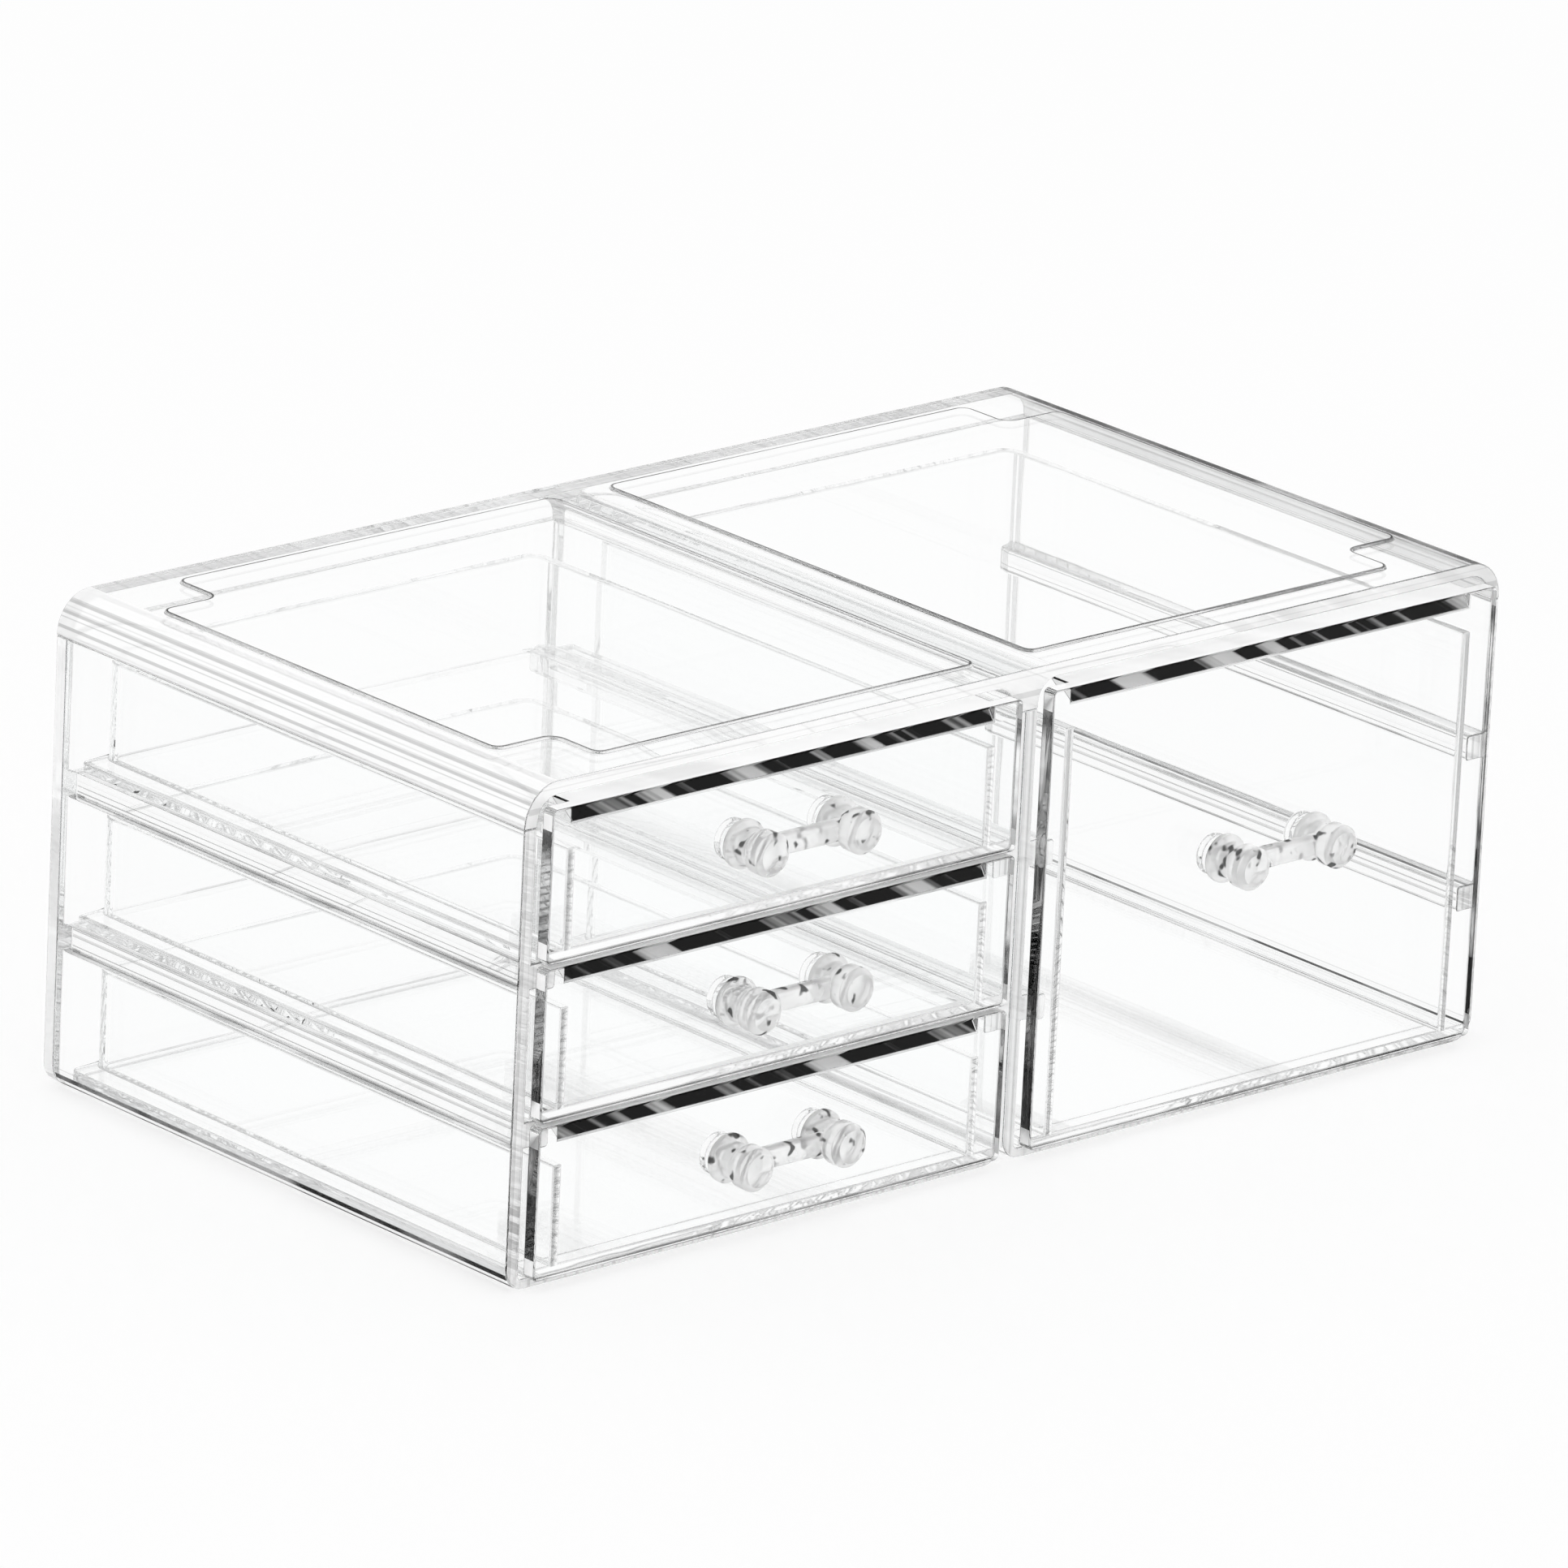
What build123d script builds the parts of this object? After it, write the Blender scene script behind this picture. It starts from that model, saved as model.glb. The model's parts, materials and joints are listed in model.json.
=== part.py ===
from build123d import *
import os

# A clear moulded drawer organizer that stacks: two bays side by side under one cover,
# three small drawers in the left bay and one large drawer in the right bay.
# Millimetres, +Z up, drawers open towards -Y.
# The origin lies on the floor under the middle of the whole box, handles included.

# Case
case_width = 240.0
case_depth = 132.0
case_height = 96.0
wall = 3.0
base_thickness = 2.0
back_thickness = 3.0
shell_radius = 4.5

# Runners on the walls of both bays
runner_width = 4.5
runner_height = 5.0
runner_radius = 0.7

# Cover with two raised fields that locate the next unit on top
cover_thickness = 2.6
cover_height = 8.0
cover_radius = 7.5
cover_inner_radius = 4.5
field_step = 0.5
field_side_margin = 8.7
field_end_margin = 6.6
field_strip = 12.6
notch_width = 13.5
notch_depth = 12.0
field_radius = 2.5
stack_clearance = 0.8
recess_depth = 0.8

# Drawers
small_drawers = 3
front_thickness = 3.0
front_radius = 1.0
front_gap = 0.8
top_gap = 1.5
stop_gap = 0.3
run_gap = 0.3
side_gap = 0.8
rear_gap = 2.0
runner_room = 1.2
tray_wall = 2.0
tray_floor = 1.8
tray_radius = 4.0
flange_radius = 2.0
rim_drop = 8.4
lip_height = 3.6
lip_depth = 5.0
lip_inset = 0.8

# Handles: two knobs joined by a bar, on pegs that go through the drawer front
large_handle_rise = 4.0
knob_spacing = 22.2
knob_diameter = 8.4
knob_reach = 9.2
knob_chamfer = 1.1
foot_diameter = 9.4
foot_thickness = 1.1
neck_diameter = 6.8
neck_place = 3.0
barrel_place = 5.4
bar_height = 4.2
bar_depth = 2.8
bar_place = 4.2
bar_radius = 1.1
peg_diameter = 4.0
peg_clearance = 0.05
cap_diameter = 8.0
cap_thickness = 1.8
cap_skin = 0.8
cap_radius = 0.4

# A cut runs this far past the face that it opens
overrun = 1.0

# Places that follow from the sizes
handle_side = stop_gap + front_thickness + knob_reach
case_front = (handle_side - case_depth) / 2
case_back = case_front + case_depth
case_middle = (case_front + case_back) / 2
shell_width = case_width / 2
shell_depth = case_depth - back_thickness
bay_width = shell_width - 2 * wall
left_bay = -shell_width / 2
right_bay = shell_width / 2
rim_level = case_height - field_step
seam_level = rim_level - cover_height
ceiling_level = rim_level - cover_thickness

drawer_pitch = (ceiling_level - top_gap + front_gap - base_thickness - run_gap) / small_drawers
front_back = case_front - stop_gap
front_face = front_back - front_thickness
front_width = bay_width - 2 * side_gap
flange_width = front_width
tray_width = flange_width - 2 * (runner_width - side_gap + runner_room)
tray_depth = case_back - back_thickness - rear_gap - front_back
tray_middle = front_back + tray_depth / 2
small_front_height = drawer_pitch - front_gap
large_front_height = small_drawers * drawer_pitch - front_gap


def floor_level(place):
    """Height of a drawer's underside, counted in drawers from the base."""
    return base_thickness + run_gap + place * drawer_pitch


# Each drawer: the middle of its bay, the height of its underside, the height of its front
# and the height of its handle over that front's middle
drawers = {
    "upper": (left_bay, floor_level(2), small_front_height, 0),
    "middle": (left_bay, floor_level(1), small_front_height, 0),
    "lower": (left_bay, floor_level(0), small_front_height, 0),
    "large": (right_bay, floor_level(0), large_front_height, large_handle_rise),
}


def save(part, label):
    """Name a finished piece and write it to its own file."""
    part.label = label
    export_step(part, f"parts/{label}.step")


def make_shell(label, bay):
    """One bay's trough: base and two walls in one moulding, with runners along both walls."""
    with BuildPart() as shell:
        with BuildSketch(Plane.XZ.offset(-case_front - shell_depth)):
            with Locations((bay, seam_level / 2)):
                Rectangle(shell_width, seam_level)
            fillet(vertices().group_by(Axis.Y)[0], shell_radius)
            with BuildSketch(mode=Mode.SUBTRACT):
                with Locations((bay, base_thickness + seam_level / 2)):
                    Rectangle(bay_width, seam_level)
                fillet(vertices().group_by(Axis.Y)[0], side_gap)
            runner_reach = bay_width / 2 - runner_width / 2 + wall / 4
            for place in range(1, small_drawers):
                runner_middle = floor_level(place) - run_gap - runner_height / 2
                with Locations((bay - runner_reach, runner_middle), (bay + runner_reach, runner_middle)):
                    RectangleRounded(runner_width + wall / 2, runner_height, runner_radius)
        extrude(amount=shell_depth)
        # A shallow recess under the base nests over the raised field of the unit below
        with BuildSketch(Plane.XY.offset(-overrun)):
            with Locations((bay, case_middle)):
                RectangleRounded(
                    shell_width - field_strip + 2 * stack_clearance,
                    case_depth - 2 * field_end_margin + 2 * stack_clearance,
                    field_radius,
                )
        extrude(amount=overrun + recess_depth, mode=Mode.SUBTRACT)
    save(shell.part, label)


def make_back_panel():
    """The flat plate that closes both bays at the rear."""
    with BuildPart() as panel:
        with BuildSketch(Plane.XZ.offset(-case_back)):
            with Locations((0, seam_level / 2)):
                Rectangle(case_width, seam_level)
            fillet(vertices().group_by(Axis.Y)[0], shell_radius)
        extrude(amount=back_thickness)
    save(panel.part, "back_panel")


def make_top_cover():
    """The cover over both bays, with round long edges, skirts and the two stacking fields."""
    field_width = shell_width - field_side_margin - field_strip / 2
    field_depth = case_depth - 2 * field_end_margin
    field_outer = case_width / 2 - field_side_margin
    with BuildPart() as cover:
        with BuildSketch(Plane.XZ.offset(-case_back)):
            with Locations((0, seam_level + cover_height / 2)):
                Rectangle(case_width, cover_height)
            fillet(vertices().group_by(Axis.Y)[-1], cover_radius)
        extrude(amount=case_depth)
        hollow_height = ceiling_level - seam_level + overrun
        with BuildSketch(Plane.XZ.offset(-case_front - shell_depth)):
            for bay in (left_bay, right_bay):
                with Locations((bay, ceiling_level - hollow_height / 2)):
                    Rectangle(bay_width, hollow_height)
            fillet(vertices().group_by(Axis.Y)[-1], cover_inner_radius)
        extrude(amount=shell_depth + overrun, mode=Mode.SUBTRACT)
        with BuildSketch(Plane.XY.offset(rim_level)):
            for side in (-1, 1):
                with Locations((side * (field_outer - field_width / 2), case_middle)):
                    Rectangle(field_width, field_depth)
                with Locations((side * field_outer, case_middle)):
                    with GridLocations(0, field_depth, 1, 2):
                        Rectangle(2 * notch_width, 2 * notch_depth, mode=Mode.SUBTRACT)
            fillet(vertices(), field_radius)
        extrude(amount=field_step)
    save(cover.part, "top_cover")


def make_tray(label, bay, underside, front_height):
    """An open-fronted tray on a floor whose edges stand out as flanges to ride on the runners."""
    rim_height = front_height - rim_drop
    with BuildPart() as tray:
        with BuildSketch(Plane.XY.offset(underside)):
            with Locations((bay, tray_middle)):
                Rectangle(flange_width, tray_depth)
            fillet(vertices().group_by(Axis.Y)[-1], flange_radius)
        extrude(amount=tray_floor)
        with BuildSketch(Plane.XY.offset(underside)):
            with Locations((bay, tray_middle)):
                Rectangle(tray_width, tray_depth)
            fillet(vertices().group_by(Axis.Y)[-1], tray_radius)
        extrude(amount=rim_height)
        with BuildSketch(Plane.XY.offset(underside + tray_floor)):
            with Locations((bay, tray_middle - tray_wall / 2 - overrun / 2)):
                Rectangle(tray_width - 2 * tray_wall, tray_depth - tray_wall + overrun)
            fillet(vertices().group_by(Axis.Y)[-1], tray_radius - tray_wall)
        extrude(amount=rim_height, mode=Mode.SUBTRACT)
    save(tray.part, f"{label}_tray")


def knob_places(bay, handle_level):
    """Middles of a handle's two knobs on the drawer front, as X and Z."""
    return [(bay - knob_spacing / 2, handle_level), (bay + knob_spacing / 2, handle_level)]


def make_front(label, bay, underside, front_height, handle_level):
    """A drawer front with peg holes and a wedge-shaped lip behind its top edge, over the tray."""
    top = underside + front_height
    with BuildPart() as front:
        with BuildSketch(Plane.XZ.offset(-front_back)):
            with Locations((bay, underside + front_height / 2)):
                RectangleRounded(front_width, front_height, front_radius)
            with Locations(*knob_places(bay, handle_level)):
                Circle(peg_diameter / 2 + peg_clearance, mode=Mode.SUBTRACT)
        extrude(amount=front_thickness)
        with BuildSketch(Plane.YZ.offset(bay)):
            with BuildLine():
                Polyline(
                    (front_back, top - lip_height),
                    (front_back + lip_depth, top),
                    (front_back - front_thickness / 2, top),
                    (front_back - front_thickness / 2, top - lip_height),
                    close=True,
                )
            make_face()
        extrude(amount=tray_width / 2 - lip_inset, both=True)
    save(front.part, f"{label}_front")


def make_handle(label, bay, handle_level):
    """Two turned knobs with pegs, joined by a flat bar."""
    peg_end = front_thickness + cap_thickness - cap_skin - peg_clearance
    with BuildPart() as handle:
        for knob_x, knob_z in knob_places(bay, handle_level):
            knob_plane = Plane((knob_x, front_face, knob_z), x_dir=(1, 0, 0), z_dir=(0, 0, -1))
            with BuildSketch(knob_plane):
                with BuildLine():
                    Polyline(
                        (0, -peg_end),
                        (peg_diameter / 2, -peg_end),
                        (peg_diameter / 2, 0),
                        (foot_diameter / 2, 0),
                        (foot_diameter / 2, foot_thickness),
                    )
                    ThreePointArc(
                        (foot_diameter / 2, foot_thickness),
                        (neck_diameter / 2, neck_place),
                        (knob_diameter / 2, barrel_place),
                    )
                    Polyline(
                        (knob_diameter / 2, barrel_place),
                        (knob_diameter / 2, knob_reach - knob_chamfer),
                        (knob_diameter / 2 - knob_chamfer, knob_reach),
                        (0, knob_reach),
                        (0, -peg_end),
                    )
                make_face()
            revolve(axis=Axis((knob_x, front_face, knob_z), (0, 1, 0)))
        with BuildSketch(Plane.YZ.offset(bay)):
            with Locations((front_face - bar_place, handle_level)):
                RectangleRounded(bar_depth, bar_height, bar_radius)
        extrude(amount=knob_spacing / 2, both=True)
    save(handle.part, f"{label}_handle")


def make_caps(label, bay, handle_level):
    """Two push-on caps that hold a handle's pegs inside the drawer."""
    with BuildPart() as caps:
        with BuildSketch(Plane.XZ.offset(-front_back - cap_thickness)):
            with Locations(*knob_places(bay, handle_level)):
                Circle(cap_diameter / 2)
        extrude(amount=cap_thickness)
        fillet(caps.edges().group_by(Axis.Y)[-1], cap_radius)
        with BuildSketch(Plane.XZ.offset(-front_back - cap_thickness + cap_skin)):
            with Locations(*knob_places(bay, handle_level)):
                Circle(peg_diameter / 2 + peg_clearance)
        extrude(amount=cap_thickness, mode=Mode.SUBTRACT)
    save(caps.part, f"{label}_caps")


os.makedirs("parts", exist_ok=True)
make_shell("left_shell", left_bay)
make_shell("right_shell", right_bay)
make_back_panel()
make_top_cover()
for drawer, (bay, underside, front_height, handle_rise) in drawers.items():
    handle_level = underside + front_height / 2 + handle_rise
    make_tray(drawer, bay, underside, front_height)
    make_front(drawer, bay, underside, front_height, handle_level)
    make_handle(drawer, bay, handle_level)
    make_caps(drawer, bay, handle_level)
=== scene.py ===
"""Clear drawer organizer: the look of every piece, a plain white stage and the camera."""

import json
import math

import bmesh
import bpy
from bpy.props import FloatProperty, FloatVectorProperty, IntProperty, PointerProperty
from mathutils import Matrix, Vector


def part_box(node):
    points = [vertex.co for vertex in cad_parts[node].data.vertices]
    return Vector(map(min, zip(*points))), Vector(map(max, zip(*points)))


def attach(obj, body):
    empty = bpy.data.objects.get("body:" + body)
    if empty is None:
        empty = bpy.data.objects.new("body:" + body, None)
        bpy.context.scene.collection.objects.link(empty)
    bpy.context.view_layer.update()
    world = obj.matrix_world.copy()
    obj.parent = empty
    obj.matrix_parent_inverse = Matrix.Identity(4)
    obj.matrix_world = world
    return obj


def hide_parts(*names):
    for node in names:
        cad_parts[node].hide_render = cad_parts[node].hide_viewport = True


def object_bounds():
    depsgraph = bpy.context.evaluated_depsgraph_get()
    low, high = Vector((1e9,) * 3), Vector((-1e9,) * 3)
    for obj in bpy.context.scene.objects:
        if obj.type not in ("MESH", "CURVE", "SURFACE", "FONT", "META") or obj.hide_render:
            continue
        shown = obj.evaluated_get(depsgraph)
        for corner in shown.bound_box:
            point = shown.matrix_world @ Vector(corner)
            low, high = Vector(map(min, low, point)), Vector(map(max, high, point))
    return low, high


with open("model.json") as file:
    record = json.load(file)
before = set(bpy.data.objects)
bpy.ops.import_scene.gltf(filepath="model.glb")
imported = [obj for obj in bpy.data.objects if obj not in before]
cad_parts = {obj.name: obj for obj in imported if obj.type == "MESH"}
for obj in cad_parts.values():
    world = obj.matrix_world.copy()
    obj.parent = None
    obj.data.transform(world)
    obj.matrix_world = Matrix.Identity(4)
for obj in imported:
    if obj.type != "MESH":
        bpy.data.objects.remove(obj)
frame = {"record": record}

bl_info = {
    "name": "Clear Drawer Organizer",
    "version": (1, 0, 0),
    "blender": (4, 5, 0),
    "location": "View3D > Sidebar > Organizer",
    "description": "Builds a clear moulded organizer with drawers on its packed frame",
    "category": "Add Mesh",
}

MM = 0.001
CAD_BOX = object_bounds()
SHELLS = ("left_shell", "right_shell")
DRAWERS = ("upper", "middle", "lower", "large")
# Drawers that ride on runners and not on a base
RAISED_DRAWERS = ("middle", "upper")

# Points nearer than this, in metres, are one
TOUCH = 1e-7
# Seams narrower than this, in metres, are merged
SEAM = 1e-6
# The rounded edges of a piece have its second look, which paints dark reflections along them
EDGE_LOOK = 1
# Rise over length of the two facets under a trough that carry its dark foot line, a painted dark reflection
FOOT_SLOPES = ((0.5, 0.7), (0.85, 0.95))
# Rise over length up to which a strip lies level, and from which it stands upright
LEVEL_SLOPE, UPRIGHT_SLOPE = 0.01, 0.99
# Run over length from which a facet of the cover's right round edge carries the dark line, a painted dark
# reflection
LINE_RUN = 0.9
# Edges that turn by more than this are rounded
ROUNDED_TURN = math.radians(28)
# Turned pieces keep a crease where they turn by more than this
CREASE_TURN = math.radians(35)


def length(name, description, millimetres):
    """A length property, its default given in millimetres."""
    default = millimetres * MM
    return FloatProperty(name=name, description=description, default=default, unit="LENGTH", precision=5)


def angle(name, description, degrees):
    """An angle property, its default given in degrees."""
    return FloatProperty(name=name, description=description, default=math.radians(degrees), unit="ROTATION")


def number(name, description, default):
    """A property without a unit."""
    return FloatProperty(name=name, description=description, default=default)


class OrganizerCase(bpy.types.PropertyGroup):
    """Sizes of the shells, the cover and the back."""

    wall: length("Wall", "Thickness of the bay walls and of the cover's skirts", 3.0)
    base: length("Base", "Thickness of a bay's base", 2.0)
    shell_radius: length("Shell radius", "Round of the long edges under a bay", 4.5)
    bay_radius: length("Bay radius", "Round between base and wall inside a bay", 0.8)
    runner_width: length("Runner width", "How far a runner stands out from the wall", 4.5)
    runner_height: length("Runner height", "Height of a runner", 5.0)
    runner_radius: length("Runner radius", "Round of a runner's free edges", 0.7)
    run_gap: length("Run gap", "Play between a drawer's floor and its runners", 0.3)
    cover_thickness: length("Cover thickness", "Thickness of the cover over the bays", 2.6)
    cover_radius: length("Cover radius", "Round of the cover's long edges", 7.5)
    hollow_radius: length("Hollow radius", "Round between cover and skirt inside", 4.5)
    field_step: length("Field step", "How far the stacking fields stand up", 0.5)
    field_side: length("Field side margin", "From the case's side to a field", 8.7)
    field_end: length("Field end margin", "From the case's front or back to a field", 6.6)
    field_strip: length("Field strip", "Width of the strip between the fields", 12.6)
    field_radius: length("Field radius", "Round of a field's corners", 2.5)
    field_slant: length("Field slant", "Width of the slanted rim round a field", 0.6)
    field_drop: length("Field drop", "How far the slanted rim of a field falls", 0.03)
    notch_width: length("Notch width", "Width of the cut at a field's outer corners", 13.5)
    notch_depth: length("Notch depth", "Depth of the cut at a field's outer corners", 12.0)
    recess_play: length("Recess play", "Play of the underside recess round a field", 0.8)
    recess_depth: length("Recess depth", "Depth of the recess under a bay", 0.8)
    edge_round: length("Edge round", "Round that the mould leaves on every edge", 0.3)
    step_round: length("Step round", "Round of the cover's edges and of its fields", 0.2)
    bond: length("Bond", "How far bonded pieces reach into each other", 0.02)


class OrganizerDrawer(bpy.types.PropertyGroup):
    """Sizes of the trays, fronts, handles and caps."""

    tray_wall: length("Tray wall", "Thickness of a tray's sides and back", 2.0)
    tray_floor: length("Tray floor", "Thickness of a tray's floor", 1.8)
    tray_radius: length("Tray radius", "Round of a tray's back corners", 4.0)
    flange_width: length("Flange width", "How far the floor stands out past the sides", 4.9)
    flange_radius: length("Flange radius", "Round of the floor's back corners", 2.0)
    front_thickness: length("Front thickness", "Thickness of a drawer front", 3.0)
    front_radius: length("Front radius", "Round of a front's corners", 1.0)
    lip_height: length("Lip height", "Height of the wedge inside a front's top edge", 3.6)
    lip_depth: length("Lip depth", "Depth of the wedge inside a front's top edge", 5.0)
    lip_inset: length("Lip inset", "From the tray's outer side to the wedge's end", 0.8)
    # The dark strip at a front's ends is a painted dark reflection
    end_margin: length("End margin", "Clear margin beside the dark strip at a front's ends", 0.25)
    # The parts over and under the dark strip carry painted light, white that stands in for the bright
    # backdrop
    end_painted_light: length("End satin", "Satin part over and under the dark strip at a front's ends", 4.0)
    knob_spacing: length("Knob spacing", "Distance between the middles of two knobs", 22.2)
    knob_diameter: length("Knob diameter", "Width of a knob's barrel", 8.4)
    knob_reach: length("Knob reach", "How far a knob stands out from the front", 9.2)
    knob_chamfer: length("Knob chamfer", "Slanted edge round a knob's end", 1.1)
    knob_round: length("Knob round", "Round of both edges of a knob's chamfer", 0.3)
    foot_diameter: length("Foot diameter", "Width of a knob's foot", 9.4)
    foot_thickness: length("Foot thickness", "Thickness of a knob's foot", 1.1)
    foot_round: length("Foot round", "Round of a foot's outer edge", 0.4)
    seat_round: length("Seat round", "Round of feet, caps and bores where they seat", 0.2)
    neck_diameter: length("Neck diameter", "Width of a knob at its neck", 6.8)
    neck_place: length("Neck place", "Distance of the neck from the front", 3.0)
    neck_reach: length("Neck reach", "From the middle of the neck to its ends", 1.0)
    neck_round: length("Neck round", "Round between foot and neck", 1.0)
    throat_round: length("Throat round", "Round between neck and barrel", 1.5)
    barrel_place: length("Barrel place", "Where a knob's straight barrel starts", 5.4)
    barrel_round: length("Barrel round", "Round where a knob's barrel starts", 0.8)
    bar_height: length("Bar height", "Height of the bar between two knobs", 4.2)
    bar_depth: length("Bar depth", "Depth of the bar between two knobs", 2.8)
    bar_place: length("Bar place", "Distance of the bar's middle from the front", 4.2)
    bar_radius: length("Bar radius", "Round of the bar's long edges", 1.1)
    peg_diameter: length("Peg diameter", "Width of the pegs that hold a handle", 4.0)
    peg_round: length("Peg round", "Round of a peg's end", 0.3)
    peg_play: length("Peg play", "Play between a peg and its hole", 0.05)
    cap_diameter: length("Cap diameter", "Width of the cap pushed on a peg", 8.0)
    cap_thickness: length("Cap thickness", "Thickness of the cap pushed on a peg", 1.8)
    cap_skin: length("Cap skin", "What is left of a cap past its bore", 0.8)
    cap_round: length("Cap round", "Round of a cap's free edge", 0.4)
    turn_steps: IntProperty(name="Turn steps", description="Facets round a turned piece", default=48, min=12)
    hole_steps: IntProperty(name="Hole steps", description="Facets round a peg hole", default=32, min=12)


class OrganizerFinish(bpy.types.PropertyGroup):
    """The clear plastic, and the painted dark reflections and painted light on it."""

    tint: FloatVectorProperty(
        name="Tint", description="Colour of the clear plastic", subtype="COLOR", default=(0.997, 0.999, 0.999)
    )
    ior: number("IOR", "How strongly the plastic bends light", 1.53)
    tray_ior: number("Tray IOR", "How strongly the thin trays bend light", 1.36)
    glare: number("Glare", "Share of the mirror gloss that the polished faces keep", 0.1)
    polish: number("Polish", "Roughness of the haziest patches", 0.006)
    wave_height: length("Wave height", "Height of the flow waves from the mould", 0.004)
    # Brightness of the painted dark reflections: the bars, end strips, edge lines and spots painted on the
    # clear plastic
    dark: number("Dark", "Brightness of the dark bars, ends and edge lines", 0.0015)
    # Brightness of the painted light: matt white layers that stand in for the bright backdrop seen in the
    # clear plastic
    painted_light: number("Painted light", "Brightness of the satin parts", 0.98)


class OrganizerStage(bpy.types.PropertyGroup):
    """Camera, floor and light."""

    azimuth: angle("Azimuth", "Camera's way round the object", -42.358)
    elevation: angle("Elevation", "Camera's height over the horizon", 18.711)
    roll: angle("Roll", "Camera's turn about its own axis", 2.801)
    distance: length("Distance", "Camera's distance from the middle of the case", 2684.4)
    slide_right: length("Slide right", "Camera's move to its right", 1.45)
    slide_up: length("Slide up", "Camera's move to its own up", 6.31)
    lens: number("Lens", "Camera's focal length in millimetres", 331.37)
    floor_size: length("Floor size", "Half the width of the floor", 6000.0)
    floor_gap: length("Floor gap", "How far the floor lies under the case", 0.05)
    floor_steps: IntProperty(name="Floor steps", description="Corners of the round floor", default=64, min=12)
    floor_white: number("Floor white", "How pale the floor is", 0.98)
    floor_glow: number("Floor glow", "How much of its shadow the floor hides", 0.75)
    dome_start: number("Dome start", "Sine of the height where the grey overhead starts", 0.35)
    dome_full: number("Dome full", "Sine of the height where the grey overhead is full", 0.95)
    dome_dark: number("Dome dark", "How grey clear edges see the overhead", 0.2)
    lamp_watts: number("Lamp", "Power of the soft lamp overhead", 1.2)
    lamp_size: length("Lamp size", "Width of the soft lamp", 1200.0)
    lamp_place: FloatVectorProperty(
        name="Lamp place", description="Middle of the soft lamp", default=(-0.4, -0.3, 1.6), unit="LENGTH"
    )


class OrganizerSettings(bpy.types.PropertyGroup):
    """Everything that a user would change."""

    case: PointerProperty(type=OrganizerCase)
    drawer: PointerProperty(type=OrganizerDrawer)
    finish: PointerProperty(type=OrganizerFinish)
    stage: PointerProperty(type=OrganizerStage)


def settings():
    """The sizes, finishes and stage that the scene holds."""
    return bpy.context.scene.organizer


# Node trees

class Value:
    """A number in a node tree. Sums and products of such values add Math nodes."""

    def __init__(self, tree, socket):
        self.tree = tree
        self.socket = socket

    def math(self, operation, first, second):
        return Nodes(self.tree).value("ShaderNodeMath", 0, {"operation": operation}, {0: first, 1: second})

    def __add__(self, other):
        return self.math("ADD", self, other)

    def __radd__(self, other):
        return self.math("ADD", other, self)

    def __sub__(self, other):
        return self.math("SUBTRACT", self, other)

    def __rsub__(self, other):
        return self.math("SUBTRACT", other, self)

    def __mul__(self, other):
        return self.math("MULTIPLY", self, other)

    def __rmul__(self, other):
        return self.math("MULTIPLY", other, self)

    def least(self, other):
        return self.math("MINIMUM", self, other)


class Nodes:
    """Adds nodes of any kind to a tree."""

    def __init__(self, tree):
        self.tree = tree

    def add(self, kind, values=None, sockets=None):
        """A node of that kind: its settings first, then the values or links of its sockets."""
        node = self.tree.nodes.new(kind)
        for name, value in (values or {}).items():
            setattr(node, name, value)
        for key, value in (sockets or {}).items():
            if isinstance(value, Value):
                value = value.socket
            if isinstance(value, bpy.types.NodeSocket):
                self.tree.links.new(value, node.inputs[key])
            else:
                node.inputs[key].default_value = value
        return node

    def socket(self, kind, output, values=None, sockets=None):
        """One output of a new node."""
        return self.add(kind, values, sockets).outputs[output]

    def value(self, kind, output, values=None, sockets=None):
        """One output of a new node, as a value to reckon with."""
        return Value(self.tree, self.socket(kind, output, values, sockets))


def cleared_nodes(owner):
    """The emptied node tree of a material or a world."""
    owner.use_nodes = True
    owner.node_tree.nodes.clear()
    return Nodes(owner.node_tree)


def noise(nodes, place, scale, detail):
    """Noise in space with so many cells per metre."""
    return nodes.value("ShaderNodeTexNoise", "Fac", None, {"Vector": place, "Scale": scale, "Detail": detail})


def plastic(nodes, place, haze_scale, wave_scale, ior):
    """Polished clear plastic: faint flow waves from the mould and a trace of haze."""
    finish = settings().finish
    haze = noise(nodes, place, haze_scale, 3.0)
    waves = noise(nodes, place, wave_scale, 1.0)
    tint = Vector(finish.tint)
    paler = tint.lerp(Vector((1.0, 1.0, 1.0)), 0.5)
    # A Mix node's colours are its inputs 6 and 7 and its output 2
    colours = {"Factor": haze, 6: (*tint, 1.0), 7: (*paler, 1.0)}
    colour = nodes.socket("ShaderNodeMix", 2, {"data_type": "RGBA"}, colours)
    swell = {"Height": waves, "Strength": 1.0, "Distance": finish.wave_height}
    glare = finish.glare
    return nodes.socket(
        "ShaderNodeBsdfPrincipled",
        0,
        None,
        {
            "Base Color": colour,
            "Roughness": haze * finish.polish,
            "IOR": ior,
            "Specular Tint": (glare, glare, glare, 1.0),
            "Transmission Weight": 1.0,
            "Normal": nodes.socket("ShaderNodeBump", 0, None, swell),
        },
    )


def matt(nodes, brightness):
    """A matt layer without any mirror gloss."""
    colour = (brightness, brightness, brightness, 1.0)
    sockets = {"Base Color": colour, "Roughness": 0.6, "Specular IOR Level": 0.0}
    return nodes.socket("ShaderNodeBsdfPrincipled", 0, None, sockets)


def dark(nodes):
    """The layer of painted dark reflections: bars, end strips, edge lines and spots that stand in for dark
    surroundings seen in the clear plastic.
    """
    return matt(nodes, settings().finish.dark)


def painted_light(nodes):
    """The layer of painted light: matt white that stands in for the bright backdrop seen in the clear
    plastic.
    """
    return matt(nodes, settings().finish.painted_light)


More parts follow.
